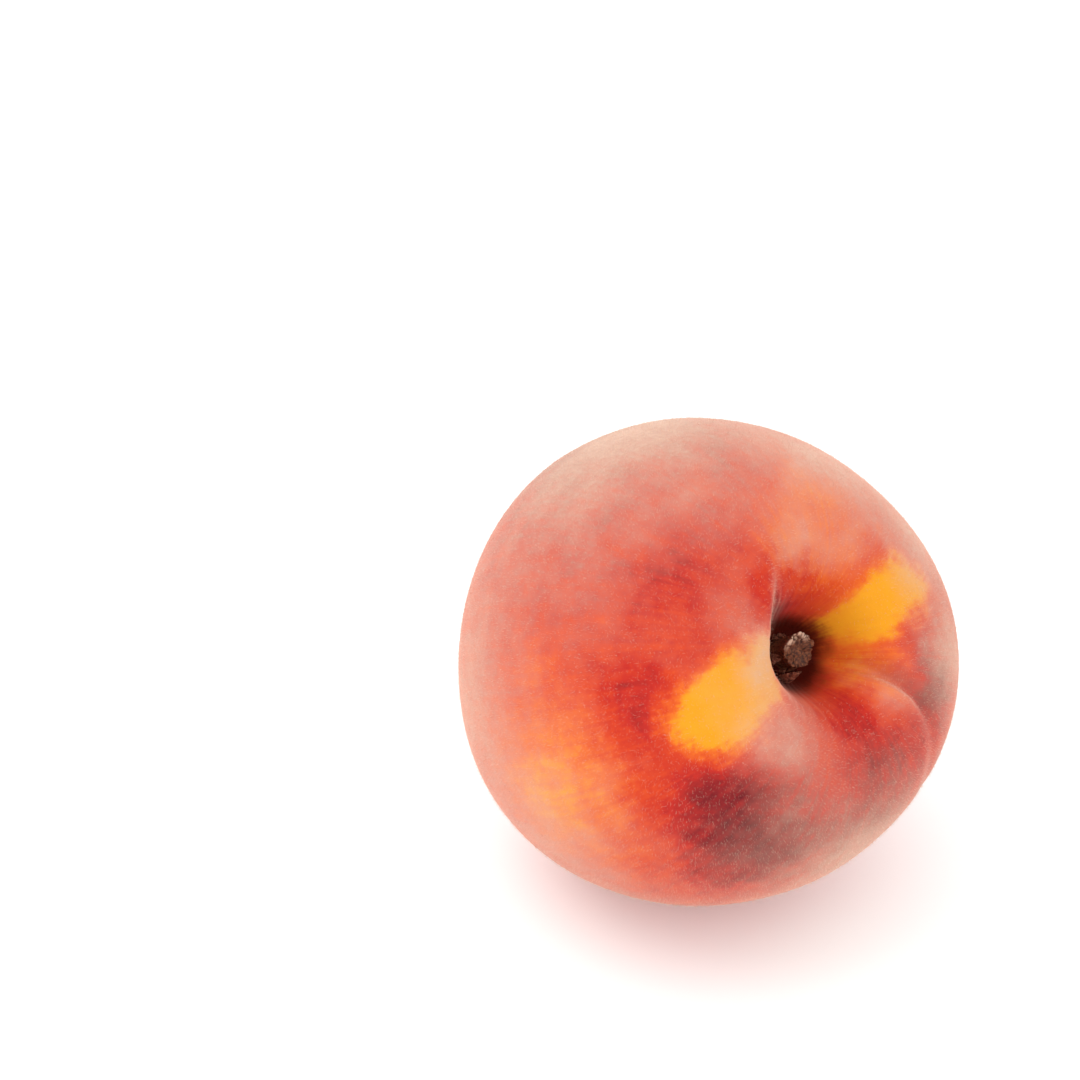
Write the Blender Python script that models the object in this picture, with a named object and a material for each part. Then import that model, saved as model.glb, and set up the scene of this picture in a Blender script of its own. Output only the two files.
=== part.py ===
"""A ripe peach lying tipped over on its cheek, with the woody stub of its stem in the stem basin.

Standalone Blender script: blender --background --python part.py
Metres, +Z up. The origin is the middle of the small flat spot that the fruit rests on.
"""

import math

import bmesh
import bpy
from mathutils import Matrix, Vector

# ---- Driving dimensions of the fruit, in its own frame: stem end at +Z, suture on the +X side ----
HALF_WIDTH = 0.0378
HALF_HEIGHT_STEM = 0.0374
HALF_HEIGHT_TIP = 0.0378
SHOULDER_FULLNESS = 2.15  # superellipse power: 2 is a plain ellipsoid
LONGER_TOWARDS_SUTURE = 1.011
SUTURE_SIDE_TAPER = 0.07  # how much narrower the fruit is on the suture's side

BOWL_DEPTH = 0.0045
BOWL_RADIUS = 0.0125
BOWL_POWER = 3.0
PIT_DEPTH = 0.0120
PIT_RADIUS = 0.0072
PIT_POWER = 4.5
BASIN_STRETCH = 1.10  # the basin is longer along the suture than across it

SUTURE_DEPTH_AT_BASIN = 0.0026
SUTURE_DEPTH_AT_EQUATOR = 0.00015
SUTURE_DEEPEST = math.radians(18)  # polar angle, with the angle over which the extra depth dies away
SUTURE_DEEP_SPAN = math.radians(10.5)
SUTURE_HALF_WIDTH = 0.0017
SUTURE_LIP_HALF_WIDTH = 0.0034
SUTURE_LIP_SHARE = 0.60
SUTURE_LIP_TILT = 0.4  # how much fuller the lip on the -Y side is
SUTURE_START = math.radians(-6)  # its bearing at the stem, and how far it has bent away below
SUTURE_BEND = math.radians(-28)
SUTURE_BEND_OVER = (math.radians(8), math.radians(56))
SUTURE_FADE = math.radians(12)  # it dies away this close to the stem axis and to the tip

FOLD_BEARING = math.radians(119)  # a fold where the fuller cheek laps over the shoulder beside it
FOLD_HOOK = math.radians(42)  # how far its inner end hooks round, and the angle over which it straightens
FOLD_HOOK_SPAN = math.radians(8)
FOLD_HEIGHT = 0.0014
FOLD_SHARPEST = 0.0017  # half the width of the step at its inner end, and how that widens outwards
FOLD_WIDENING = 0.0050
FOLD_REACH = 0.0060
FOLD_INNER = (math.radians(7), math.radians(14))
FOLD_OUTER = (math.radians(17), math.radians(42))

HOLLOWS = (  # polar angle, bearing, depth and half width
    (math.radians(16), math.radians(108), 0.0018, 0.0048),  # scooped out below the fold
    (math.radians(12), math.radians(228), -0.0007, 0.0036),  # full where the cheek overhangs
)

CHEEK_BEARING = math.radians(210)  # the fuller cheek, which overhangs the basin a little
CHEEK_SWELL = 0.0007
SHOULDER_SWELL = 0.0022
SHOULDER_POLAR = math.radians(26)
SHOULDER_SPAN = math.radians(19)

TIP_DIMPLE_DEPTH = 0.0014
TIP_DIMPLE_RADIUS = 0.0042
TIP_NIB_HEIGHT = 0.0011
TIP_NIB_RADIUS = 0.0011

# ---- How the fruit lies ----
STEM_LEAN = math.radians(58)  # from upright
STEM_HEADING = math.radians(-52.5)  # which way the stem end leans, from +X towards +Y
ROLL = math.radians(66)  # about the stem axis
REST_SPOT_DEPTH = 0.0011  # how far the underside has flattened under the fruit's weight

# ---- The stem stub ----
STUB_LENGTH = 0.0046
STUB_RADIUS = 0.0023
STUB_COLLAR_RADIUS = 0.0030
STUB_COLLAR_HEIGHT = 0.0010
STUB_LEAN = math.radians(5)
STUB_LEAN_BEARING = math.radians(118)
GAP = 0.0003  # between the stub's base and the floor of the basin

# ---- Mesh fineness ----
AZIMUTH_STEPS = 60
BASIN_RINGS = 17
SIDE_RINGS = 25
BASIN_RING_LIMIT = 0.0150
SUTURE_CROWDING = 0.35  # draws the meridians together near the suture
STUB_SIDES = 20


def bell(distance, half_width):
    return math.exp(-((distance / half_width) ** 2))


def basin_drop(x, y):
    """How far the stem end sinks: a wide bowl with a steep narrow pit in its middle."""
    reach = math.hypot(x / BASIN_STRETCH, y)
    bowl = BOWL_DEPTH / (1 + (reach / BOWL_RADIUS) ** BOWL_POWER)
    pit = PIT_DEPTH / (1 + (reach / PIT_RADIUS) ** PIT_POWER)
    return bowl + pit


def rise(value, start, end):
    """0 up to start, 1 from end on, smooth between."""
    t = min(1.0, max(0.0, (value - start) / (end - start)))
    return t * t * (3 - 2 * t)


def direction(polar, bearing):
    outward = math.sin(polar)
    return Vector((outward * math.cos(bearing), outward * math.sin(bearing), math.cos(polar)))


def beside(bearing, angle, reach):
    """Sideways distance from a line that leaves the stem axis at a bearing. It is large behind the axis."""
    turn = angle - bearing
    return reach * math.sin(turn) if math.cos(turn) > 0 else reach + SUTURE_LIP_HALF_WIDTH * 4


def suture_swell(polar, angle, reach):
    """The groove from stem to tip, with full lips on both sides."""
    aside = beside(SUTURE_START + SUTURE_BEND * rise(polar, *SUTURE_BEND_OVER), angle, reach)
    extra = SUTURE_DEPTH_AT_BASIN - SUTURE_DEPTH_AT_EQUATOR
    depth = SUTURE_DEPTH_AT_EQUATOR + extra * bell(polar - SUTURE_DEEPEST, SUTURE_DEEP_SPAN)
    fuller = 1 - SUTURE_LIP_TILT * math.tanh(aside / SUTURE_HALF_WIDTH)
    lips = SUTURE_LIP_SHARE * fuller * bell(aside, SUTURE_LIP_HALF_WIDTH)
    groove = (1 + SUTURE_LIP_SHARE) * bell(aside, SUTURE_HALF_WIDTH)
    return depth * rise(math.sin(polar), 0, math.sin(SUTURE_FADE)) * (lips - groove)


def fold_swell(polar, angle, reach):
    """A step across the fold: full on the cheek's side, sunk on the other, both dying away."""
    hook = FOLD_HOOK * min(1, math.exp(-(polar - FOLD_INNER[1]) / FOLD_HOOK_SPAN))
    aside = beside(FOLD_BEARING + hook, angle, reach)
    outwards = rise(polar, *FOLD_OUTER)
    step = math.tanh(aside / (FOLD_SHARPEST + FOLD_WIDENING * outwards))
    return FOLD_HEIGHT * rise(polar, *FOLD_INNER) * (1 - outwards) * step * bell(aside, FOLD_REACH)


def hollow_swell(way):
    """The scooped and the full parts of the basin's rim."""
    full = 0
    for polar, bearing, depth, half_width in HOLLOWS:
        full -= depth * bell(HALF_WIDTH * way.angle(direction(polar, bearing)), half_width)
    return full


def swell(polar, angle, reach):
    """Outward change of the plain body at a polar angle and an azimuth: cheeks, suture, fold and rim."""
    facing_cheek = math.cos(angle - CHEEK_BEARING)
    out = CHEEK_SWELL * facing_cheek * math.sin(polar)
    out += SHOULDER_SWELL * max(0, facing_cheek) * bell(polar - SHOULDER_POLAR, SHOULDER_SPAN)
    out += suture_swell(polar, angle, reach)
    out += fold_swell(polar, angle, reach)
    return out + hollow_swell(direction(polar, angle))


def skin_point(polar, angle):
    """A point of the skin. polar is 0 at the stem and pi at the tip, angle is measured from the suture."""
    upright = math.cos(polar)
    half_height = HALF_HEIGHT_STEM if upright > 0 else HALF_HEIGHT_TIP
    n = SHOULDER_FULLNESS
    radius = ((math.sin(polar) / HALF_WIDTH) ** n + (abs(upright) / half_height) ** n) ** (-1 / n)
    reach = radius * math.sin(polar)
    radius += swell(polar, angle, reach)
    x = radius * math.sin(polar) * math.cos(angle) * LONGER_TOWARDS_SUTURE
    y = radius * math.sin(polar) * math.sin(angle) / LONGER_TOWARDS_SUTURE
    y *= 1 - SUTURE_SIDE_TAPER * x / HALF_WIDTH
    z = radius * upright
    if upright > 0:
        z -= basin_drop(x, y)
    else:
        off_axis = math.hypot(x, y)
        z += TIP_DIMPLE_DEPTH * bell(off_axis, TIP_DIMPLE_RADIUS)
        z -= TIP_NIB_HEIGHT * bell(off_axis, TIP_NIB_RADIUS)
    return Vector((x, y, z))


def floor_height(reach):
    """Height of the basin's floor at this distance from the stem axis, where it is highest."""
    polar = math.asin(reach / HALF_WIDTH)
    return max(skin_point(polar, turn).z for turn in azimuths())


def ring_angles():
    """Polar angles of the rings: close together in the basin, then even down to the tip."""
    rim = math.asin(BASIN_RING_LIMIT / HALF_WIDTH)
    basin = [rim * (i + 1) / BASIN_RINGS for i in range(BASIN_RINGS)]
    side = [rim + (math.pi - rim) * (i + 1) / (SIDE_RINGS + 1) for i in range(SIDE_RINGS)]
    return basin + side


def azimuths():
    evenly = [2 * math.pi * i / AZIMUTH_STEPS for i in range(AZIMUTH_STEPS)]
    return [u - SUTURE_CROWDING * math.sin(u) for u in evenly]


def close_round(bm, rings, first, last):
    """Quads between neighbouring rings, and a fan from each end ring to its pole."""
    for low, high in zip(rings, rings[1:]):
        for i in range(len(low)):
            j = (i + 1) % len(low)
            bm.faces.new((low[i], high[i], high[j], low[j]))
    for pole, ring in ((first, rings[0]), (last, rings[-1])):
        for i in range(len(ring)):
            bm.faces.new((pole, ring[i], ring[(i + 1) % len(ring)]))
    bmesh.ops.recalc_face_normals(bm, faces=bm.faces)


def lying_rotation():
    """Turns the fruit's own frame to how it lies."""
    roll = Matrix.Rotation(ROLL, 3, "Z")
    lean = Matrix.Rotation(STEM_LEAN, 3, "Y")
    heading = Matrix.Rotation(STEM_HEADING, 3, "Z")
    return heading @ lean @ roll


def material(name, colour, roughness):
    made = bpy.data.materials.new(name)
    made.use_nodes = True
    shader = made.node_tree.nodes["Principled BSDF"]
    shader.inputs["Base Color"].default_value = (*colour, 1)
    shader.inputs["Roughness"].default_value = roughness
    shader.inputs["Metallic"].default_value = 0
    return made


def add_object(name, bm, finish):
    mesh = bpy.data.meshes.new(name)
    bm.to_mesh(mesh)
    bm.free()
    mesh.materials.append(finish)
    mesh.shade_smooth()
    mesh.set_sharp_from_angle(angle=math.radians(50))
    made = bpy.data.objects.new(name, mesh)
    bpy.context.scene.collection.objects.link(made)
    return made


def build_fruit(down):
    """The fruit in its own frame, flattened where down points. Returns it with the spot's middle."""
    bm = bmesh.new()
    turns = azimuths()
    rings = [[bm.verts.new(skin_point(polar, angle)) for angle in turns] for polar in ring_angles()]
    close_round(bm, rings, bm.verts.new(skin_point(0, 0)), bm.verts.new(skin_point(math.pi, 0)))
    lowest = max(v.co @ down for v in bm.verts)
    level = down * (lowest - REST_SPOT_DEPTH)
    cut = bmesh.ops.bisect_plane(
        bm, geom=[*bm.verts, *bm.edges, *bm.faces], plane_co=level, plane_no=down, clear_outer=True
    )
    rim = [e for e in cut["geom_cut"] if isinstance(e, bmesh.types.BMEdge)]
    spot = bmesh.ops.contextual_create(bm, geom=rim)["faces"][0]
    bmesh.ops.recalc_face_normals(bm, faces=bm.faces)
    middle = spot.calc_center_median_weighted()
    return add_object("fruit", bm, material("peach_skin", (0.80, 0.22, 0.10), 0.75)), middle


def build_stub():
    """The stem stub on the origin: a flared collar, a waisted leaning shaft and a blunt broken end."""
    bm = bmesh.new()
    outline = [
        (STUB_COLLAR_RADIUS, 0),
        (STUB_COLLAR_RADIUS, STUB_COLLAR_HEIGHT * 0.5),
        (STUB_RADIUS, STUB_COLLAR_HEIGHT * 1.3),
        (STUB_RADIUS * 0.94, STUB_LENGTH * 0.55),
        (STUB_RADIUS, STUB_LENGTH * 0.85),
        (STUB_RADIUS * 0.9, STUB_LENGTH * 0.97),
        (STUB_RADIUS * 0.55, STUB_LENGTH),
    ]
    rings = []
    for radius, height in outline:
        ring = []
        for i in range(STUB_SIDES):
            turn = 2 * math.pi * i / STUB_SIDES
            around = Vector((radius * math.cos(turn), radius * math.sin(turn), height))
            ring.append(bm.verts.new(around + stub_offset(height)))
        rings.append(ring)
    top_height = STUB_LENGTH * 0.96
    top = bm.verts.new(Vector((0, 0, top_height)) + stub_offset(top_height))
    close_round(bm, rings, bm.verts.new((0, 0, 0)), top)
    return add_object("stem_stub", bm, material("stem_wood", (0.16, 0.08, 0.04), 0.9))


def stub_offset(height):
    """How far the leaning stub's middle has moved sideways at a height."""
    return direction(math.pi / 2, STUB_LEAN_BEARING) * math.tan(STUB_LEAN) * height


def build():
    for leftover in list(bpy.data.objects):
        bpy.data.objects.remove(leftover)
    lying = lying_rotation()
    fruit, spot = build_fruit(lying.inverted() @ Vector((0, 0, -1)))
    stub = build_stub()
    stub.location = (0, 0, floor_height(STUB_COLLAR_RADIUS) + GAP)

    pose = bpy.data.objects.new("pose", None)
    bpy.context.scene.collection.objects.link(pose)
    pose.rotation_euler = lying.to_euler()
    pose.location = -(lying @ spot)
    for piece in (fruit, stub):
        piece.parent = pose


build()
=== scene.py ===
"""A ripe peach lying tipped over on its cheek: downy blushed skin, and a split stub in the stem basin.

Metres, +Z up. The skin is modelled in the fruit's own frame, stem end at +Z and suture on the +X side,
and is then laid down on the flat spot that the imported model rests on.
"""
import math
import bpy
import numpy as np
from mathutils import Matrix, Vector


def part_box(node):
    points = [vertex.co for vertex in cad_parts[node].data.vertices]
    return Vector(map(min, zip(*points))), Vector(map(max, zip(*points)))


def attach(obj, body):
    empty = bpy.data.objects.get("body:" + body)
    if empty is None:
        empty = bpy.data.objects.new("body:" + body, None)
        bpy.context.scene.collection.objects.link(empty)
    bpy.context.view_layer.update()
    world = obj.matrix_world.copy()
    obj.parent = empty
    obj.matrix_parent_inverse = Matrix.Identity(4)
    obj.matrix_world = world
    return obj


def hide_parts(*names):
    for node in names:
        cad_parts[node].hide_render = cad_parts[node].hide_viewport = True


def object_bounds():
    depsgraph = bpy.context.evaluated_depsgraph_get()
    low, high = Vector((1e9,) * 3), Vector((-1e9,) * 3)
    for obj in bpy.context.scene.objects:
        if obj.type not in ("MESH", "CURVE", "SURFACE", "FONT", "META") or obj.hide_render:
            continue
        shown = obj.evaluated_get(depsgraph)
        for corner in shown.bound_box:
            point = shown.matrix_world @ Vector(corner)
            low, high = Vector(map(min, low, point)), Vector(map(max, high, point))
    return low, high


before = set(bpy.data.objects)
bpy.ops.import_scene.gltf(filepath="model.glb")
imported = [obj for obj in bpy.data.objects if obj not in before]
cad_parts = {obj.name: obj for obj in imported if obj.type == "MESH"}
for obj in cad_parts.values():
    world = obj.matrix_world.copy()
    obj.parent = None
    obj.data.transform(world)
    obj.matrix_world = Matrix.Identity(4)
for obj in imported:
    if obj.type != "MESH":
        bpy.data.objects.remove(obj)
cad_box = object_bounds()

# ---- The fruit's body, in its own frame ----
HALF_WIDTH = 0.0378
HALF_HEIGHT_STEM = 0.0374
HALF_HEIGHT_TIP = 0.0378
SHOULDER_FULLNESS = 2.15  # superellipse power: 2 is a plain ellipsoid
LONGER_TOWARDS_SUTURE = 1.011
SUTURE_SIDE_TAPER = 0.07  # how much narrower the fruit is on the suture's side

BOWL_DEPTH = 0.0045
BOWL_RADIUS = 0.0125
BOWL_POWER = 3.0
PIT_DEPTH = 0.0120
PIT_RADIUS = 0.0072
PIT_POWER = 4.5
BASIN_STRETCH = 1.10  # the basin is longer along the suture than across it

SUTURE_DEPTH_AT_BASIN = 0.0026
SUTURE_DEPTH_AT_EQUATOR = 0.00015
SUTURE_DEEPEST = math.radians(18)  # polar angle, with the angle over which the extra depth dies away
SUTURE_DEEP_SPAN = math.radians(10.5)
SUTURE_HALF_WIDTH = 0.0017
SUTURE_LIP_HALF_WIDTH = 0.0034
FAR_ASIDE = 4 * SUTURE_LIP_HALF_WIDTH  # so far from a line that its relief has died away
SUTURE_LIP_SHARE = 0.60
SUTURE_LIP_TILT = 0.4  # how much fuller the lip on the -Y side is
SUTURE_START = math.radians(-6)  # its bearing at the stem, and how far it has bent away below
SUTURE_BEND = math.radians(-28)
SUTURE_BEND_OVER = (math.radians(8), math.radians(56))
SUTURE_FADE = math.radians(12)

FOLD_BEARING = math.radians(119)  # a fold where the fuller cheek laps over the shoulder beside it
FOLD_HOOK = math.radians(42)  # how far its inner end hooks round, and the angle over which it straightens
FOLD_HOOK_SPAN = math.radians(8)
FOLD_HEIGHT = 0.0014
FOLD_SHARPEST = 0.0017  # half the width of the step at its inner end, and how that widens outwards
FOLD_WIDENING = 0.0050
FOLD_REACH = 0.0060
FOLD_INNER = (math.radians(7), math.radians(14))
FOLD_OUTER = (math.radians(17), math.radians(42))

HOLLOWS = (  # polar angle, bearing, depth and half width
    (math.radians(16), math.radians(108), 0.0018, 0.0048),  # scooped out below the fold
    (math.radians(12), math.radians(228), -0.0007, 0.0036),  # full where the cheek overhangs
)

CHEEK_BEARING = math.radians(210)
CHEEK_SWELL = 0.0007
SHOULDER_SWELL = 0.0022
SHOULDER_POLAR = math.radians(26)
SHOULDER_SPAN = math.radians(19)

TIP_DIMPLE_DEPTH = 0.0014
TIP_DIMPLE_RADIUS = 0.0042
TIP_NIB_HEIGHT = 0.0011
TIP_NIB_RADIUS = 0.0011

# ---- How the fruit lies ----
STEM_LEAN = math.radians(58)
STEM_HEADING = math.radians(-52.5)
ROLL = math.radians(66)
REST_SPOT_DEPTH = 0.0011
REST_SPOT_SOFTNESS = 0.00025  # height over which the flat spot blends into the round cheek

# ---- Fine relief that grows on the body ----
LUMP_HEIGHT = 0.00016
LUMP_LENGTHS = (1.5, 0.5)  # longest and shortest wave, in body radii
LUMP_WAVES = 14
LUMP_SEED = 7
FLUTE_HEIGHT = 0.00010  # radial flutes on the basin's wall
FLUTES_ROUND = (23, 31, 41)
FLUTE_TWIST = 0.6
FLUTE_POLAR = math.radians(14)
FLUTE_SPAN = math.radians(7)

# ---- The stem stub, a split and torn end of wood on a wider foot ----
STUB_HEIGHT = 0.0046  # above the basin's floor
STUB_SUNK = 0.0012  # how far its foot goes below that floor
STUB_RADIUS = 0.0023
STUB_FOOT_SPREAD = 0.0007
STUB_FOOT_HEIGHT = 0.0011
STUB_END_SPREAD = 0.00025
STUB_LEAN = math.radians(5)
STUB_LEAN_BEARING = math.radians(118)
STUB_SEED = 21
STUB_CRACKS = 4
STUB_CRACK_DEPTH = (0.04, 0.11)  # shallowest and deepest, as shares of the radius
STUB_CRACK_HALF_WIDTH = (0.03, 0.06)  # in radians
STUB_HOLLOW = 0.0005  # how far the pith has sunk below the torn rim
STUB_RAGGED = 0.00020
STUB_BUNDLES = 64  # bundles of fibre in the torn end, and how unevenly they have broken off
STUB_BUNDLE_STEP = 0.00016
STUB_BUNDLE_BLEND = 0.025  # shares of the radius: the blend between bundles, and the gap between them
STUB_BUNDLE_GAP = 0.09
STUB_SLANT = 0.0008  # how much higher the rim is on the side that the stub leans to
STUB_OUT_OF_ROUND = 0.06  # shares of the radius: broad ripples round the stub, and fine ones
STUB_RIPPLES = 0.015
STUB_ROUGHNESS = 0.000035
STUB_GRAIN = (0.0009, 0.0003, 40)  # longest and shortest wave of the rough surface, and their number
STUB_GRAIN_STRETCH = 0.22  # the grain is drawn out along the stub
STUB_GAP_SPLIT = 0.09  # how split the gaps between bundles count as, for the painted crack shade
STUB_SIDES = 144
STUB_SIDE_RINGS = 44
STUB_END_RINGS = 16

# ---- Torn bark round the stub's foot ----
BARK_SEED = 5
BARK_THICKNESS = 0.00022
BARK_SUNK = 0.0006  # how far a flake's foot goes below the skin
BARK_BUCKLE = 0.0002
BARK_ACROSS = 9  # points across a flake and up it
BARK_UP = 8
BARK_FLAKES = 11
BARK_REACH = (0.0026, 0.0036)  # nearest and farthest from the stem axis
BARK_SIZE = (0.0009, 0.0018)
BARK_WIDENESS = (0.9, 1.6)  # width as a share of height
BARK_FLAP = (math.radians(262), 0.0041, 0.0036, 0.0030)  # the largest: turn, reach, height and width

# ---- Down: name, seed, number of hairs, shortest and longest length, radius, unruliness ----
DOWN = (
    ("short_down", 3, 49000, 0.00018, 0.00042, 0.000017, 0.45),
    ("long_down", 4, 30000, 0.00045, 0.00085, 0.000013, 0.35),
)
DOWN_BARE_POLAR = (math.radians(10), math.radians(22))  # none grows in the pit, and little on its wall
DOWN_SUNK = 3  # how far a hair's root goes below the skin, in its radii

# ---- Mesh fineness ----
TURN_STEPS = 320
TURN_CROWDING = 0.35  # the steps are closer together near the suture
BASIN_RINGS = 110
SIDE_RINGS = 190
BASIN_LIMIT = math.radians(27)
AT_THE_STEM = 1e-6  # a polar angle that stands for the very middle of an end

# ---- Studio ----
FLOOR_HALF_WIDTH = 4.0
FLOOR_COLOUR = (0.93, 0.985, 0.975, 1.0)
FLOOR_GLOW = (0.90, 1.0, 0.99, 1.0)
FLOOR_GLOW_STRENGTH = 0.13
ROOM_STRENGTH = 1.22
LIGHTS = (  # name, place, width and power
    ("key", (-0.45, -0.10, 0.85), 0.7, 1.8),
    ("fill", (-0.30, -0.75, 0.14), 0.6, 0.5),
)

# ---- Camera ----
CAMERA_DISTANCE = 0.36
CAMERA_ELEVATION = math.radians(34)
LENS = 77.0
SENSOR = 36.0
FRUIT_RIGHT = 0.1541  # where the fruit's middle falls, in frame widths from the middle of the frame
FRUIT_DOWN = 0.1107


def bell(distance, half_width):
    """1 at no distance, dying away beyond the half width."""
    return np.exp(-((distance / half_width) ** 2))


def rise(value, start, end):
    """0 up to start, 1 from end on, smooth between."""
    t = np.clip((value - start) / (end - start), 0, 1)
    return t * t * (3 - 2 * t)


# ---------------------------------------------------------------- the shape of the fruit
def basin_drop(x, y):
    """How far the stem end sinks: a wide bowl with a steep narrow pit in its middle."""
    reach = np.hypot(x / BASIN_STRETCH, y)
    bowl = BOWL_DEPTH / (1 + (reach / BOWL_RADIUS) ** BOWL_POWER)
    pit = PIT_DEPTH / (1 + (reach / PIT_RADIUS) ** PIT_POWER)
    return bowl + pit


def beside(bearing, turn, reach):
    """Sideways distance from a line that leaves the stem axis at a bearing, large behind the axis."""
    off = turn - bearing
    return np.where(np.cos(off) > 0, reach * np.sin(off), reach + FAR_ASIDE)


def suture_swell(polar, turn, reach):
    """The groove from stem to tip, with full lips on both sides."""
    aside = beside(SUTURE_START + SUTURE_BEND * rise(polar, *SUTURE_BEND_OVER), turn, reach)
    extra = SUTURE_DEPTH_AT_BASIN - SUTURE_DEPTH_AT_EQUATOR
    depth = SUTURE_DEPTH_AT_EQUATOR + extra * bell(polar - SUTURE_DEEPEST, SUTURE_DEEP_SPAN)
    fuller = 1 - SUTURE_LIP_TILT * np.tanh(aside / SUTURE_HALF_WIDTH)
    lips = SUTURE_LIP_SHARE * fuller * bell(aside, SUTURE_LIP_HALF_WIDTH)
    groove = (1 + SUTURE_LIP_SHARE) * bell(aside, SUTURE_HALF_WIDTH)
    return depth * rise(np.sin(polar), 0, math.sin(SUTURE_FADE)) * (lips - groove)


def fold_swell(polar, turn, reach):
    """A step across the fold: full on the cheek's side and sunk on the other, both dying away."""
    inner, outer = FOLD_INNER, FOLD_OUTER
    bearing = FOLD_BEARING + FOLD_HOOK * np.exp(-(polar - inner[1]) / FOLD_HOOK_SPAN).clip(0, 1)
    aside = beside(bearing, turn, reach)
    along = rise(polar, *inner) * (1 - rise(polar, *outer))
    step = np.tanh(aside / (FOLD_SHARPEST + FOLD_WIDENING * rise(polar, *outer)))
    return FOLD_HEIGHT * along * step * bell(aside, FOLD_REACH)


def hollow_swell(way):
    """The scooped and the full parts of the basin's rim."""
    full = 0
    for polar, bearing, depth, half_width in HOLLOWS:
        away = HALF_WIDTH * np.arccos(np.clip(way @ direction(polar, bearing), -1, 1))
        full = full - depth * bell(away, half_width)
    return full


def direction(polar, turn):
    """The unit vector at a polar angle from the stem and a turn from the suture."""
    outward = math.sin(polar)
    return np.array((outward * math.cos(turn), outward * math.sin(turn), math.cos(polar)))


def ripples(dice, points, longest, shortest, count):
    """Uneven relief of about unit height: waves between two lengths in seeded directions."""
    height = 0
    for _ in range(count):
        heading = dice.normal(size=3)
        heading *= 2 * math.pi / dice.uniform(shortest, longest) / np.linalg.norm(heading)
        height = height + np.sin(points @ heading + dice.uniform(0, 2 * math.pi))
    return height / math.sqrt(count)


def lumps(way):
    """Gentle unevenness of the flesh."""
    return LUMP_HEIGHT * ripples(np.random.default_rng(LUMP_SEED), way, *LUMP_LENGTHS, LUMP_WAVES)


def flutes(polar, turn):
    """Fine radial folds on the basin's wall."""
    folds = sum(np.sin(count * turn + count * polar * FLUTE_TWIST) for count in FLUTES_ROUND)
    return FLUTE_HEIGHT * folds / len(FLUTES_ROUND) * bell(polar - FLUTE_POLAR, FLUTE_SPAN)


def skin_points(polar, turn):
    """Points of the skin. Polar is 0 at the stem and pi at the tip, turn is measured from the suture."""
    upright = np.cos(polar)
    half_height = np.where(upright > 0, HALF_HEIGHT_STEM, HALF_HEIGHT_TIP)
    n = SHOULDER_FULLNESS
    radius = ((np.sin(polar) / HALF_WIDTH) ** n + (np.abs(upright) / half_height) ** n) ** (-1 / n)
    reach = radius * np.sin(polar)
    way = skin_ways(polar, turn)

    facing_cheek = np.cos(turn - CHEEK_BEARING)
    radius = radius + CHEEK_SWELL * facing_cheek * np.sin(polar)
    on_shoulder = bell(polar - SHOULDER_POLAR, SHOULDER_SPAN)
    radius = radius + SHOULDER_SWELL * np.maximum(0, facing_cheek) * on_shoulder
    radius = radius + suture_swell(polar, turn, reach)
    radius = radius + fold_swell(polar, turn, reach) + hollow_swell(way)
    radius = radius + lumps(way) * rise(polar, 0, SHOULDER_POLAR) + flutes(polar, turn)

    x = radius * np.sin(polar) * np.cos(turn) * LONGER_TOWARDS_SUTURE
    y = radius * np.sin(polar) * np.sin(turn) / LONGER_TOWARDS_SUTURE
    y = y * (1 - SUTURE_SIDE_TAPER * x / HALF_WIDTH)
    z = radius * upright
    off_axis = np.hypot(x, y)
    dimple = TIP_DIMPLE_DEPTH * bell(off_axis, TIP_DIMPLE_RADIUS)
    nib = TIP_NIB_HEIGHT * bell(off_axis, TIP_NIB_RADIUS)
    z = z + np.where(upright > 0, -basin_drop(x, y), dimple - nib)
    return np.stack((x, y, z), axis=-1)


def skin_ways(polar, turn):
    """Unit vectors from the fruit's middle, as if the stem end weren't sunk."""
    sine = np.sin(polar)
    return np.stack((sine * np.cos(turn), sine * np.sin(turn), np.cos(polar) + 0 * turn), axis=-1)


def lying_rotation():
    """Turns the fruit's own frame to how it lies."""
    roll = Matrix.Rotation(ROLL, 3, "Z")
    lean = Matrix.Rotation(STEM_LEAN, 3, "Y")
    heading = Matrix.Rotation(STEM_HEADING, 3, "Z")
    return heading @ lean @ roll


def lying_matrix(points):
    """The fruit's place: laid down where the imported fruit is, and sunk by the rest spot's depth."""
    rotation = lying_rotation()
    laid = points @ np.array(rotation).T
    low, high = (np.array(corner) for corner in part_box("fruit"))
    shift = (low + high) / 2 - (laid.min(0) + laid.max(0)) / 2
    shift[2] = -laid[:, 2].min() - REST_SPOT_DEPTH
    matrix = rotation.to_4x4()
    matrix.translation = Vector(shift)
    return matrix


def lay_on_rest_spot(points, matrix):
    """Lays the fruit down, lifts what would sink below the surface, and blends it into the round cheek."""
    laid = points @ np.array(matrix.to_3x3()).T + np.array(matrix.translation)
    height = laid[:, 2]
    laid[:, 2] = (height + np.sqrt(height ** 2 + REST_SPOT_SOFTNESS ** 2)) / 2
    return laid


def ring_polars():
    """Polar angles of the rings: close together in the basin, and wider apart below it."""
    basin = BASIN_LIMIT * (np.arange(BASIN_RINGS) + 1) / BASIN_RINGS
    side = BASIN_LIMIT + (math.pi - BASIN_LIMIT) * (np.arange(SIDE_RINGS) + 1) / (SIDE_RINGS + 1)
    return np.concatenate((basin, side))


def round_faces(rings, steps):
    """Quads between rings of points, and a fan at each end. The poles are the last two points."""
    here = np.arange(steps)
    after = (here + 1) % steps
    quads = []
    for ring in range(rings - 1):
        low, high = ring * steps, (ring + 1) * steps
        quads += np.stack((low + here, high + here, high + after, low + after), axis=1).tolist()
    first, last = rings * steps, rings * steps + 1
    start = (rings - 1) * steps
    quads += [(first, a, b) for a, b in zip(here.tolist(), after.tolist())]
    quads += [(last, b, a) for a, b in zip((start + here).tolist(), (start + after).tolist())]
    return quads


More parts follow.
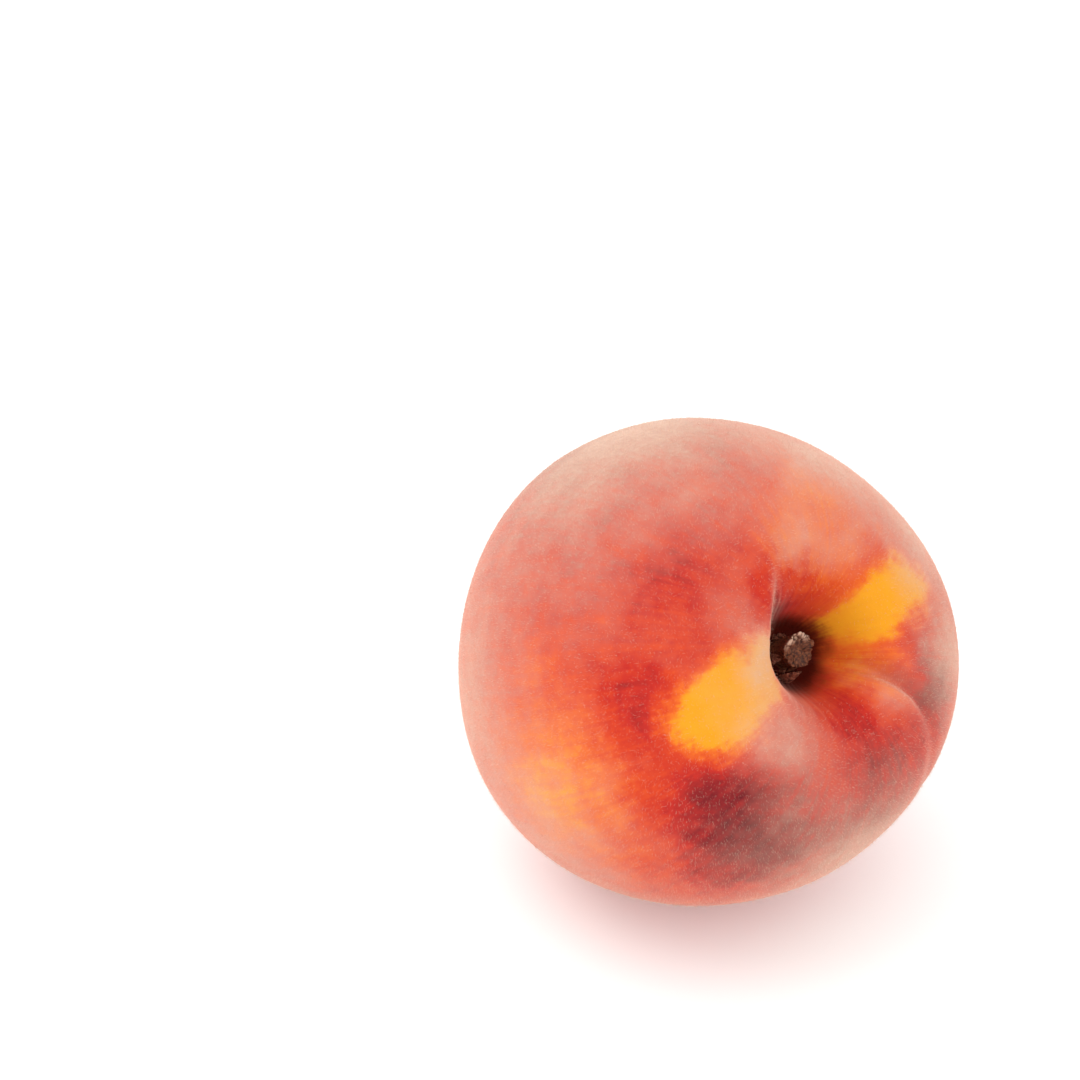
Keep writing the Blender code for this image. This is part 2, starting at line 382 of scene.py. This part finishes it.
def mesh_piece(name, points, faces, material):
    mesh = bpy.data.meshes.new(name)
    mesh.from_pydata(points.tolist(), [], faces)
    mesh.shade_smooth()
    mesh.materials.append(material)
    piece = bpy.data.objects.new(name, mesh)
    bpy.context.scene.collection.objects.link(piece)
    return piece


def grow_skin(material):
    """The whole skin as one closed mesh, laid down, and the matrix that laid it."""
    polars = ring_polars()
    turns = np.arange(TURN_STEPS) * 2 * math.pi / TURN_STEPS
    turns = turns - TURN_CROWDING * np.sin(turns)
    polar = np.concatenate((np.repeat(polars, TURN_STEPS), (AT_THE_STEM, math.pi - AT_THE_STEM)))
    turn = np.concatenate((np.tile(turns, len(polars)), (0.0, 0.0)))
    points = skin_points(polar, turn)
    matrix = lying_matrix(points)
    points = lay_on_rest_spot(points, matrix)
    skin = mesh_piece("downy_skin", points, round_faces(len(polars), TURN_STEPS), material)
    ways = skin.data.attributes.new("way", "FLOAT_VECTOR", "POINT")
    ways.data.foreach_set("vector", skin_ways(polar, turn).astype(np.float32).ravel())
    return skin, matrix


# ---------------------------------------------------------------- the stem stub
def waves(dice, angle, counts, height=0.0):
    """Seeded ripples round a turned piece, with a little twist along its height."""
    total = 0
    for count in counts:
        total = total + np.sin(count * angle + dice.uniform(0, 2 * math.pi) + dice.uniform(-2, 2) * height)
    return total / math.sqrt(len(counts))


def crack_depth(dice, turn, up, share):
    """Lengthwise splits of the wood, as shares of its radius. Up is 0 at the foot and 1 at the torn end."""
    depth = 0
    for crack in range(STUB_CRACKS):
        bearing = 2 * math.pi * (crack + dice.uniform(-0.35, 0.35)) / STUB_CRACKS
        wander = 0.25 * np.sin(2.6 * up + dice.uniform(0, 6)) + 0.5 * dice.uniform(-1, 1) * (1 - share)
        off = np.arctan2(np.sin(turn - bearing - wander), np.cos(turn - bearing - wander))
        opens = dice.uniform(-0.4, 0.35)
        reach = dice.uniform(0.1, 0.75)
        along = rise(up, opens, opens + 0.5) * rise(share, reach - 0.15, reach + 0.2)
        deep = dice.uniform(*STUB_CRACK_DEPTH)
        depth = depth + deep * bell(off, dice.uniform(*STUB_CRACK_HALF_WIDTH)) * along
    return depth


def fibre_bundles(dice, x, y):
    """How high each point's bundle of fibres stands, and how near the point is to the gap beside it."""
    middles = dice.uniform(-1.1, 1.1, (STUB_BUNDLES, 2))
    heights = dice.normal(size=STUB_BUNDLES)
    away = np.hypot(x[..., None] - middles[:, 0], y[..., None] - middles[:, 1])
    nearest = np.sort(away, axis=-1)[..., :2]
    share = np.exp((nearest[..., :1] - away) / STUB_BUNDLE_BLEND)
    gaps = 1 - rise(nearest[..., 1] - nearest[..., 0], 0, STUB_BUNDLE_GAP)
    return (share * heights).sum(axis=-1) / share.sum(axis=-1), gaps


def carve_stub(material, laid):
    """The stub: foot, split side, ragged rim and sunken pith, as one closed mesh."""
    dice = np.random.default_rng(STUB_SEED)
    side = np.arange(STUB_SIDE_RINGS) / (STUB_SIDE_RINGS - 1)
    inwards = 1 - (np.arange(STUB_END_RINGS) + 1) / (STUB_END_RINGS + 1)
    up = np.concatenate((side, np.ones(STUB_END_RINGS)))[:, None]
    share = np.concatenate((np.ones(STUB_SIDE_RINGS), inwards))[:, None]
    turn = (np.arange(STUB_SIDES) * 2 * math.pi / STUB_SIDES)[None, :]

    height = up * (STUB_HEIGHT + STUB_SUNK)
    foot = STUB_FOOT_SPREAD * np.exp(-(height / (STUB_FOOT_HEIGHT + STUB_SUNK)) ** 2)
    radius = STUB_RADIUS + foot + STUB_END_SPREAD * rise(up, 0.55, 1.0)
    splits = crack_depth(dice, turn, up, share)
    broad = STUB_OUT_OF_ROUND * waves(dice, turn, (2, 3, 5), up)
    radius = radius * (1 + broad + STUB_RIPPLES * waves(dice, turn, (17, 23, 37), up * 3))
    radius = radius * (1 - splits * share)
    end = (up > 0.999) * rise(1 - share, 0, 0.6)
    height = height + STUB_RAGGED * waves(dice, turn, (2, 5, 9, 14)) * rise(up, 0.6, 1) * (1 - end)
    height = height + STUB_SLANT * np.cos(turn - STUB_LEAN_BEARING) * share * rise(up, 0.5, 1)
    torn = rise(up, 0.88, 1)
    step, gaps = fibre_bundles(dice, share * np.cos(turn), share * np.sin(turn))
    height = height + STUB_BUNDLE_STEP * (step - gaps) * torn
    height = height - STUB_HOLLOW * end - splits * STUB_RADIUS * rise(up, 0.9, 1)
    # The pale torn rim is painted only on the side the stub leans to: paler fibre there, and a painted
    # highlight where the light catches it.
    lit_side = rise(np.cos(turn - STUB_LEAN_BEARING), 0.2, 0.9)
    rim = torn * rise(share, 0.5, 0.85) * lit_side * (1 - gaps)
    # The gaps between bundles at the torn end get painted crack shade too.
    splits = splits + STUB_GAP_SPLIT * gaps * torn

    x = radius * share * np.cos(turn)
    y = radius * share * np.sin(turn)
    points = np.stack((x, y, height + 0 * x), axis=-1).reshape(-1, 3)
    fibres = points * (1, 1, STUB_GRAIN_STRETCH)
    rough = ripples(dice, fibres, *STUB_GRAIN) * STUB_ROUGHNESS
    length = np.linalg.norm(points[:, :2], axis=1)[:, None]
    points[:, :2] += points[:, :2] / length * rough[:, None]
    points[:, 2] += rough * rise(np.broadcast_to(up, x.shape).ravel(), 0.9, 1)
    foot_middle = (0, 0, 0)
    end_middle = (0, 0, points[-STUB_SIDES:, 2].mean())
    points = np.concatenate((points, (foot_middle, end_middle)))
    slant = math.tan(STUB_LEAN) * points[:, 2]
    points[:, 0] += slant * math.cos(STUB_LEAN_BEARING)
    points[:, 1] += slant * math.sin(STUB_LEAN_BEARING)
    points[:, 2] += basin_floor() - STUB_SUNK
    faces = [face[::-1] for face in round_faces(STUB_SIDE_RINGS + STUB_END_RINGS, STUB_SIDES)]
    stub = mesh_piece("split_stub", lay_on_rest_spot(points, laid), faces, material)
    # How deep each point lies in a crack, which the finish paints near black as shade.
    paint(stub, "split", np.append(splits, (0, 0)))
    # Where the torn rim is painted pale: partly paler fibre, partly painted highlight.
    paint(stub, "torn", np.append(rim, (0, 0)))
    return stub


def basin_floor():
    """Height of the basin's floor, in the fruit's own frame."""
    return float(skin_points(np.array([AT_THE_STEM]), np.array([0.0]))[0, 2])


def paint(piece, name, amounts):
    """Stores a number at each point of a piece, for its finish to read."""
    piece.data.attributes.new(name, "FLOAT", "POINT").data.foreach_set("value", amounts.astype(np.float32))


def bark_flake(dice, turn, reach, height, width):
    """Points of a thin ragged flake that stands on the basin's wall: a front grid and a back grid."""
    across = np.linspace(-1, 1, BARK_ACROSS)[:, None]
    up = np.linspace(0, 1, BARK_UP)[None, :]
    edge = 1 + 0.22 * np.sin(dice.uniform(3, 6) * across + dice.uniform(0, 6))
    narrow = 1 - dice.uniform(0.35, 0.8) * up ** 2
    angle = turn + across * narrow * width / 2 / reach + dice.uniform(-0.2, 0.2) * up
    lean = dice.uniform(-0.35, 0.25) * height * up ** 2
    buckle = np.sin(dice.uniform(2, 4) * across + dice.uniform(2, 4) * up + dice.uniform(0, 6))
    polar = np.full_like(angle, math.asin(reach / HALF_WIDTH))
    foot = skin_points(polar[:, :1], angle[:, :1])[..., 2]
    layers = []
    for layer in (1, -1):
        thick = layer * BARK_THICKNESS / 2 * (1 - 0.7 * np.maximum(np.abs(across), up) ** 3)
        out = reach + lean + BARK_BUCKLE * buckle + thick
        rest = foot - BARK_SUNK + edge * up * (height + BARK_SUNK)
        layers.append(np.stack((out * np.cos(angle), out * np.sin(angle), rest + 0 * angle), axis=-1))
    return layers


def plate_faces(rows, columns, first):
    """Faces of a closed plate whose points are a front grid and then a back grid."""
    index = np.arange(rows * columns).reshape(rows, columns) + first
    back = index + rows * columns
    faces = []
    for row in range(rows - 1):
        for column in range(columns - 1):
            corners = [(row, column), (row + 1, column), (row + 1, column + 1), (row, column + 1)]
            faces.append([int(index[corner]) for corner in corners])
            faces.append([int(back[corner]) for corner in reversed(corners)])
    rim = [(row, 0) for row in range(rows)]
    rim += [(rows - 1, column) for column in range(1, columns)]
    rim += [(row, columns - 1) for row in range(rows - 2, -1, -1)]
    rim += [(0, column) for column in range(columns - 2, 0, -1)]
    for here, after in zip(rim, rim[1:] + rim[:1]):
        faces.append([int(index[after]), int(index[here]), int(back[here]), int(back[after])])
    return faces


def tear_bark(material, laid):
    """Flakes of bark left standing round the stub's foot, the largest as a flap beside it."""
    dice = np.random.default_rng(BARK_SEED)
    flakes = [bark_flake(dice, *BARK_FLAP)]
    for number in range(BARK_FLAKES):
        bearing = 2 * math.pi * (number + dice.uniform(-0.35, 0.35)) / BARK_FLAKES
        size = dice.uniform(*BARK_SIZE)
        reach = dice.uniform(*BARK_REACH)
        flakes.append(bark_flake(dice, bearing, reach, size, size * dice.uniform(*BARK_WIDENESS)))
    points, faces = [], []
    for front, back in flakes:
        rows, columns = front.shape[:2]
        faces += plate_faces(rows, columns, len(points))
        points += front.reshape(-1, 3).tolist() + back.reshape(-1, 3).tolist()
    return mesh_piece("torn_bark", lay_on_rest_spot(np.array(points), laid), faces, material)


# ---------------------------------------------------------------- the down
def mesh_array(source, key, kind, width):
    values = np.empty(len(source) * width, kind)
    source.foreach_get(key, values)
    return values.reshape(-1, width)


def grow_down(skin, name, seed, number, shortest, longest, thickness, unruly, material):
    """Fine pale hairs all over the skin except in the pit: each is a closed spike of three sides."""
    dice = np.random.default_rng(seed)
    mesh = skin.data
    mesh.calc_loop_triangles()
    corners = mesh_array(mesh.loop_triangles, "vertices", np.int32, 3)
    points = mesh_array(mesh.vertices, "co", np.float32, 3).astype(float)
    ways = mesh_array(mesh.attributes["way"].data, "vector", np.float32, 3).astype(float)
    a, b, c = (points[corners[:, corner]] for corner in range(3))
    outwards = np.cross(b - a, c - a)
    area = np.linalg.norm(outwards, axis=1)
    outwards /= area[:, None]
    growth = area * rise(np.arccos(np.clip(ways[corners[:, 0], 2], -1, 1)), *DOWN_BARE_POLAR)
    pick = dice.choice(len(corners), number, p=growth / growth.sum())
    u = dice.random((number, 1))
    v = dice.random((number, 1))
    past = u + v > 1
    u, v = np.where(past, 1 - u, u), np.where(past, 1 - v, v)
    root = a[pick] + (b - a)[pick] * u + (c - a)[pick] * v
    outwards = outwards[pick]
    grow = outwards + dice.normal(size=root.shape) * unruly
    grow /= np.linalg.norm(grow, axis=1)[:, None]
    side = np.cross(grow, dice.normal(size=root.shape))
    side *= thickness / np.linalg.norm(side, axis=1)[:, None]
    other = np.cross(grow, side)
    tip = root + grow * dice.uniform(shortest, longest, (number, 1))
    root = root - outwards * thickness * DOWN_SUNK
    turns = (0, 2 * math.pi / 3, 4 * math.pi / 3)
    foot = [root + side * math.cos(turn) + other * math.sin(turn) for turn in turns]
    hairs = np.stack([*foot, tip], axis=1)
    hairs = hairs[hairs[..., 2].min(axis=1) > thickness]  # none under the rest spot
    first = np.arange(len(hairs))[:, None] * 4
    spike = ((0, 1, 3), (1, 2, 3), (2, 0, 3), (2, 1, 0))
    faces = np.concatenate([first + np.array(face) for face in spike])
    return mesh_piece(name, hairs.reshape(-1, 3), faces.tolist(), material)


# ---------------------------------------------------------------- materials
class Value:
    """A socket of a finish. Arithmetic on it adds Math nodes."""

    def __init__(self, finish, socket):
        self.finish = finish
        self.socket = socket

    def math(self, operation, *others, first=None):
        values = [self, *others] if first is None else [first, self]
        return self.finish.add("ShaderNodeMath", {"operation": operation}, dict(enumerate(values)))

    def __add__(self, other):
        return self.math("ADD", other)

    def __sub__(self, other):
        return self.math("SUBTRACT", other)

    def __rsub__(self, other):
        return self.math("SUBTRACT", first=other)

    def __mul__(self, other):
        return self.math("MULTIPLY", other)

    __radd__ = __add__
    __rmul__ = __mul__

    def exp(self):
        return self.math("EXPONENT")

    def least(self, other):
        return self.math("MINIMUM", other)

    def most(self, other):
        return self.math("MAXIMUM", other)

    def rise(self, start, end):
        """0 up to start, 1 from end on, smooth between."""
        return self.finish.add(
            "ShaderNodeMapRange",
            {"interpolation_type": "SMOOTHSTEP"},
            {"Value": self, "From Min": start, "From Max": end},
        )


class Finish:
    """A material under construction: a Principled shader and the nodes that feed it."""

    def __init__(self, name, **constants):
        self.material = bpy.data.materials.new(name)
        self.material.use_nodes = True
        self.nodes = self.material.node_tree.nodes
        self.links = self.material.node_tree.links
        self.shader = self.nodes["Principled BSDF"]
        for socket, value in constants.items():
            self.shader.inputs[socket.replace("_", " ")].default_value = value

    def put(self, socket, value):
        if isinstance(value, Value):
            self.links.new(value.socket, socket)
        else:
            socket.default_value = value

    def add(self, kind, settings=None, inputs=None, output=0):
        """Adds a node with its settings, then fills its sockets. A ramp's stops are a setting."""
        node = self.nodes.new(kind)
        for key, value in (settings or {}).items():
            if key == "stops":
                self.set_stops(node.color_ramp, value)
            else:
                setattr(node, key, value)
        for key, value in (inputs or {}).items():
            self.put(node.inputs[key], value)
        return Value(self, node.outputs[output])

    def set_stops(self, ramp, stops):
        while len(ramp.elements) < len(stops):
            ramp.elements.new(1.0)
        for element, (place, colour) in zip(ramp.elements, stops):
            element.position = place
            element.color = colour

    def vector(self, operation, *values, output="Vector"):
        return self.add("ShaderNodeVectorMath", {"operation": operation}, dict(enumerate(values)), output)

    def noise(self, place, scale, detail, roughness, output=0):
        inputs = {"Vector": place, "Scale": scale, "Detail": detail, "Roughness": roughness}
        return self.add("ShaderNodeTexNoise", {"noise_dimensions": "3D"}, inputs, output)

    def mix(self, share, under, over):
        return self.add("ShaderNodeMix", {"data_type": "RGBA"}, {0: share, 6: under, 7: over}, 2)

    def attribute(self, name, output):
        """What is stored at the points of a piece under a name."""
        return self.add("ShaderNodeAttribute", {"attribute_name": name}, output=output)

    def ramp(self, value, stops):
        """A colour for each value, blended between the stops."""
        return self.add("ShaderNodeValToRGB", {"stops": stops}, {0: value})

    def bump(self, height, strength, distance):
        inputs = {"Strength": strength, "Distance": distance, "Height": height}
        return self.add("ShaderNodeBump", inputs=inputs)

    def set(self, **inputs):
        for socket, value in inputs.items():
            self.put(self.shader.inputs[socket.replace("_", " ")], value)
        return self.material


def srgb(red, green, blue):
    """Screen values from 0 to 255 as a linear colour."""
    shares = (value / 255 for value in (red, green, blue))
    return (*(s / 12.92 if s < 0.04045 else ((s + 0.055) / 1.055) ** 2.4 for s in shares), 1.0)


# Stops of each ramp are (place, colour).
BLUSH = (  # from the golden ground colour to the ripest red
    (0.00, srgb(228, 161, 27)),
    (0.16, srgb(226, 143, 32)),
    (0.34, srgb(218, 98, 35)),
    (0.50, srgb(204, 65, 32)),
    (0.66, srgb(184, 42, 33)),
    (0.82, srgb(140, 31, 33)),
    (1.00, srgb(94, 18, 27)),
)
WOOD = (
    (0.30, srgb(52, 20, 8)),
    (0.50, srgb(108, 54, 26)),
    (0.72, srgb(146, 90, 54)),
)
BARK = (
    (0.34, srgb(70, 30, 16)),
    (0.52, srgb(140, 82, 58)),
    (0.70, srgb(206, 150, 124)),
)
DOWN_AND_SHEEN_COLOUR = srgb(208, 170, 149)  # the down where it is too thick to see single hairs, and the painted highlight of light grazing it
CORK_AND_PIT_SHADE = srgb(74, 10, 0)  # the bottom of the pit: brown cork, darkened further as painted shade in the deep pit
SCAR = srgb(112, 70, 44)  # the dry end of the tip
TORN_RIM_AND_HIGHLIGHT = srgb(222, 186, 160)
CRACK_SHADE = srgb(38, 14, 8)

PATCH_WANDER = 0.22  # how far the outlines of the patches wander, in body radii
STREAK_CHANGE = 0.09  # how fast the streaks change along the fruit, against how fast round it
PLAIN_RIPENESS = 0.61  # outside all patches
PLAIN_DOWN = 0.04
GOLD_CLEARS = 0.84  # share of the blush that is missing in the middle of a golden patch
GOLD_EDGE = (0.12, 1.10)  # where gold starts, and where it is full
CORK_AND_SHADE_EDGE = (0.007, 0.018)  # 1 less the cosine of the angle from the stem, where all is cork and painted pit shade and where none is
SCAR_EDGE = (0.0003, 0.0012)  # the same of the angle from the tip

# Each patch of the skin is (polar angle, turn, spread in degrees, amount).
GOLDEN = (  # where leaves have shaded the skin, so that its ground colour shows
    (37, 211, 8.0, 1.03),
    (29, 210, 9.0, 0.90),
    (20, 203, 8.5, 0.80),
    (14, 190, 7.0, 0.55),
    (32, 196, 6.0, 0.22),
    (31, 39, 7.5, 1.00),
    (22, 45, 8.0, 0.95),
    (13, 43, 7.0, 0.90),
)
RIPENESS_AND_SHADE = (  # where the sun has deepened the blush, and where it has spared it; one patch beside the pit is painted shade
    (86, 124, 24, 0.32),
    (44, 244, 13, 0.22),
    (41, 234, 8, 0.07),
    (50, 264, 14, 0.22),
    (48, 302, 16, 0.20),
    (31, 351, 9, 0.30),
    # Painted shade: darker on the basin's wall beside the pit.
    (11, 138, 5, 0.30),
    (46, 202, 8, 0.19),
    (40, 164, 8, 0.08),
    (28, 308, 8, 0.12),
    (16, 308, 6, 0.12),
    (21, 322, 7, -0.10),
    (12, 14, 7, -0.17),
    (15, 340, 6, -0.06),
    (66, 205, 10, 0.07),
    (70, 212, 19, -0.32),
    (84, 222, 14, -0.12),
    (68, 240, 12, -0.10),
    (36, 94, 12, -0.24),
    (20, 86, 9, -0.18),
    (28, 124, 7, -0.16),
    (36, 176, 12, -0.03),
    (66, 196, 14, -0.05),
    (18, 352, 6, -0.24),
    (26, 344, 5, -0.12),
    (10, 290, 7, -0.10),
    (142, 300, 30, -0.36),
    (122, 70, 28, -0.24),
)
DOWN_AND_PAINTED_SHEEN = (  # where the down is thick and pale, and where it has been rubbed thin; round the rim and at the top left the pale is partly painted highlight, the sheen of light on the down
    # The first ten patches lie round the edges and at the top left of the front view: partly real down,
    # partly painted highlight of light grazing the down.
    (78, 120, 25, 0.79),
    (52, 84, 18, 0.66),
    (44, 46, 14, 0.58),
    (39, 5, 12, 0.62),
    (80, 146, 20, 0.32),
    (60, 164, 16, 0.16),
    (94, 170, 18, 0.14),
    (100, 196, 24, 0.50),
    (92, 234, 20, 0.32),
    (60, 298, 20, 0.62),
    (36, 268, 9, 0.16),
    (46, 132, 14, 0.18),
    (25, 112, 7, 0.40),
    # A painted highlight along the cheek's edge above the pit, where light grazes the down.
    (16, 188, 7, 0.56),
    (22, 230, 8, 0.28),
    (24, 82, 7, 0.16),
    (76, 224, 13, 0.12),
    (45, 228, 9, -0.12),
    (46, 200, 9, -0.10),
    (40, 164, 8, -0.08),
    # A painted highlight on the basin's rim below the pit.
    (23, 250, 8, 0.32),
    (26, 168, 7, 0.12),
    # A painted highlight along the lower lip of the suture, where it faces the light.
    (20, 339, 5, 0.36),
    # Painted shade: the down is cleared from the hollow below the fold so that it reads darker.
    (16, 126, 8, -0.45),
    (14, 60, 10, -0.20),
    (14, 320, 8, -0.10),
    (130, 60, 30, 0.30),
)


def spread(finish, way, polar, turn, size, amount):
    """A soft round patch of the skin."""
    middle = direction(math.radians(polar), math.radians(turn))
    nearness = finish.vector("DOT_PRODUCT", way, middle, output="Value")
    return ((nearness - 1) * (1 / (1 - math.cos(math.radians(size))))).exp() * amount


def patches(finish, way, places, start):
    """The sum of soft patches, on top of what it is elsewhere."""
    total = start
    for place in places:
        total = spread(finish, way, *place) + total
    return total


def skin_finish():
    """Golden ground colour under a streaked and mottled red blush, with pale down over both; the pale down
    is partly painted sheen highlight, and the pit has painted shade over its cork.
    """
    finish = Finish(
        "peach_skin",
        Roughness=0.62,
        IOR=1.4,
        Specular_IOR_Level=0.12,
        Sheen_Weight=0.56,
        Sheen_Roughness=0.35,
        Sheen_Tint=srgb(255, 220, 198),
        Subsurface_Weight=0.06,
        Subsurface_Radius=(1.0, 0.35, 0.18),
        Subsurface_Scale=0.003,
    )
    place = finish.add("ShaderNodeTexCoord", output="Object")
    way = finish.attribute("way", "Vector")
    wander = finish.noise(way, 6.0, detail=6.0, roughness=0.6, output="Color")
    wander = finish.vector("SUBTRACT", wander, (0.5, 0.5, 0.5))
    wander = finish.vector("MULTIPLY", wander, (PATCH_WANDER,) * 3)
    warped = finish.vector("NORMALIZE", finish.vector("ADD", way, wander))

    around = finish.vector("NORMALIZE", finish.vector("MULTIPLY", way, (1.0, 1.0, 0.0)))
    lengthwise = finish.vector("MULTIPLY", way, (0.0, 0.0, STREAK_CHANGE))
    meridian = finish.vector("ADD", around, lengthwise)
    streaks = finish.noise(meridian, 30.0, detail=4.0, roughness=0.65) - 0.5
    clouds = finish.noise(way, 7.0, detail=4.0, roughness=0.6) - 0.5
    mottle = finish.noise(place, 330.0, detail=5.0, roughness=0.65) - 0.5
    specks = finish.noise(place, 1500.0, detail=2.0, roughness=0.6)

    # The weights of the streaks, clouds, mottle and specks are how strongly each of them shows.
    golden = patches(finish, warped, GOLDEN, streaks * 0.6 + mottle * 0.8).rise(*GOLD_EDGE)
    ripeness = patches(finish, warped, RIPENESS_AND_SHADE, PLAIN_RIPENESS)
    ripeness = ripeness + clouds * 0.22 + streaks * 0.32 + mottle * 0.34 + (specks - 0.5) * 0.12
    ripeness = ripeness * (1 - golden * GOLD_CLEARS)
    colour = finish.ramp(ripeness, BLUSH)

    # The pale veil is real down mixed with painted sheen highlight, as laid out in the table above.
    down = patches(finish, warped, DOWN_AND_PAINTED_SHEEN, PLAIN_DOWN) - clouds * 0.24
    down = (down + (mottle * 0.4 + streaks * 0.3) * down.rise(0, 0.3)).most(0)
    colour = finish.mix(down * (0.7 + specks * 0.6), colour, DOWN_AND_SHEEN_COLOUR)

    # The bottom of the pit is painted dark: partly brown cork, partly painted shade where the pit is deep.
    off_stem = 1 - finish.vector("DOT_PRODUCT", way, (0, 0, 1), output="Value")
    cork_and_shade = 1 - (off_stem + streaks * 0.004 + mottle * 0.008).rise(*CORK_AND_SHADE_EDGE)
    colour = finish.mix(cork_and_shade, colour, CORK_AND_PIT_SHADE)
    off_tip = 2 - off_stem
    scarred = 1 - (off_tip + mottle * 0.0012).rise(*SCAR_EDGE)
    colour = finish.mix(scarred, colour, SCAR)
    return finish.set(Base_Color=colour, Normal=finish.bump(specks, 0.35, 0.00012))


def down_finish():
    """Pale dull hairs."""
    finish = Finish("pale_down", Roughness=0.8, Specular_IOR_Level=0.1)
    return finish.set(Base_Color=srgb(250, 212, 190))


def wood_finish():
    """Dry split wood: brown fibres, with painted shade near black in the cracks, and a pale torn rim on the
    side it leans to that is partly paler fibre and partly painted highlight.
    """
    finish = Finish("stem_wood", Roughness=0.72)
    place = finish.add("ShaderNodeTexCoord", output="Object")
    grain = finish.noise(place, 2400.0, detail=4.0, roughness=0.6)
    split = finish.attribute("split", "Fac")
    torn = finish.attribute("torn", "Fac")
    colour = finish.ramp(grain, WOOD)
    # The torn rim: paler fibre, with a painted highlight on the side the stub leans to.
    colour = finish.mix((torn * (0.3 + grain)).least(1), colour, TORN_RIM_AND_HIGHLIGHT)
    # Painted shade: near black down in the cracks and the gaps between bundles.
    colour = finish.mix(split.rise(0.02, 0.14), colour, CRACK_SHADE)
    return finish.set(Base_Color=colour, Normal=finish.bump(grain, 0.7, 0.0001))


def bark_finish():
    """Thin curled bark, dark brown with paler scuffs."""
    finish = Finish("torn_bark", Roughness=0.8)
    place = finish.add("ShaderNodeTexCoord", output="Object")
    scuffs = finish.noise(place, 1700.0, detail=4.0, roughness=0.65)
    colour = finish.ramp(scuffs, BARK)
    return finish.set(Base_Color=colour, Normal=finish.bump(scuffs, 0.8, 0.00012))


# ---------------------------------------------------------------- the studio
def lay_floor():
    """A plain pale floor, well past the edges of every view."""
    half = FLOOR_HALF_WIDTH
    corners = [(-half, -half, 0), (half, -half, 0), (half, half, 0), (-half, half, 0)]
    mesh = bpy.data.meshes.new("floor")
    mesh.from_pydata(corners, [], [(0, 1, 2, 3)])
    glow = {"Emission_Color": FLOOR_GLOW, "Emission_Strength": FLOOR_GLOW_STRENGTH}
    finish = Finish("pale_floor", Roughness=0.9, **glow)
    mesh.materials.append(finish.set(Base_Color=FLOOR_COLOUR))
    floor = bpy.data.objects.new("floor", mesh)
    bpy.context.scene.collection.objects.link(floor)


def hang_light(name, place, width, power, target):
    lamp = bpy.data.lights.new(name, "AREA")
    lamp.shape = "DISK"
    lamp.size = width
    lamp.energy = power
    light = bpy.data.objects.new(name, lamp)
    light.location = place
    light.rotation_mode = "QUATERNION"
    light.rotation_quaternion = (target - Vector(place)).to_track_quat("-Z", "Y")
    bpy.context.scene.collection.objects.link(light)


def light_studio(middle):
    """A bright white room, with a lamp high on the left and a weaker one low in front."""
    world = bpy.data.worlds.new("studio")
    world.use_nodes = True
    room = world.node_tree.nodes["Background"]
    room.inputs["Color"].default_value = (1.0, 1.0, 1.0, 1.0)
    room.inputs["Strength"].default_value = ROOM_STRENGTH
    bpy.context.scene.world = world
    for light in LIGHTS:
        hang_light(*light, middle)
    bpy.context.scene.view_settings.view_transform = "Standard"


def set_camera(middle):
    """Looks down on the fruit from the front, with the fruit right of and below the frame's middle."""
    across = FRUIT_RIGHT * SENSOR / LENS
    down = FRUIT_DOWN * SENSOR / LENS
    shrink = 1 / math.sqrt(1 + across ** 2 + down ** 2)
    pan = math.asin(-across * shrink / math.cos(CAMERA_ELEVATION))
    ahead = math.cos(CAMERA_ELEVATION) * math.cos(pan)
    tilt = math.atan2(math.sin(CAMERA_ELEVATION), ahead) - math.atan(down)
    forward = Vector((math.sin(pan) * math.cos(tilt), math.cos(pan) * math.cos(tilt), -math.sin(tilt)))
    right = Vector((math.cos(pan), -math.sin(pan), 0))
    camera = bpy.data.objects.new("camera", bpy.data.cameras.new("camera"))
    camera.data.lens = LENS
    camera.data.sensor_width = SENSOR
    matrix = Matrix((right, right.cross(forward), -forward)).transposed().to_4x4()
    back = Vector((0, -math.cos(CAMERA_ELEVATION), math.sin(CAMERA_ELEVATION)))
    matrix.translation = middle + back * CAMERA_DISTANCE
    camera.matrix_world = matrix
    bpy.context.scene.collection.objects.link(camera)
    bpy.context.scene.camera = camera


def build():
    """Makes every piece, says what it rides on, hides the imported fruit and stub, and sets the studio up
    round them.
    """
    skin, laid = grow_skin(skin_finish())
    pale = down_finish()
    down = [grow_down(skin, *kind, pale) for kind in DOWN]
    stub = carve_stub(wood_finish(), laid)
    bark = tear_bark(bark_finish(), laid)
    for piece in (skin, *down):
        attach(piece, "root")
    for piece in (stub, bark):
        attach(piece, "root")
    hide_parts("fruit")
    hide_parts("stem_stub")
    low, high = (Vector(corner) for corner in cad_box)
    middle = (low + high) / 2
    lay_floor()
    light_studio(middle)
    set_camera(middle)


build()
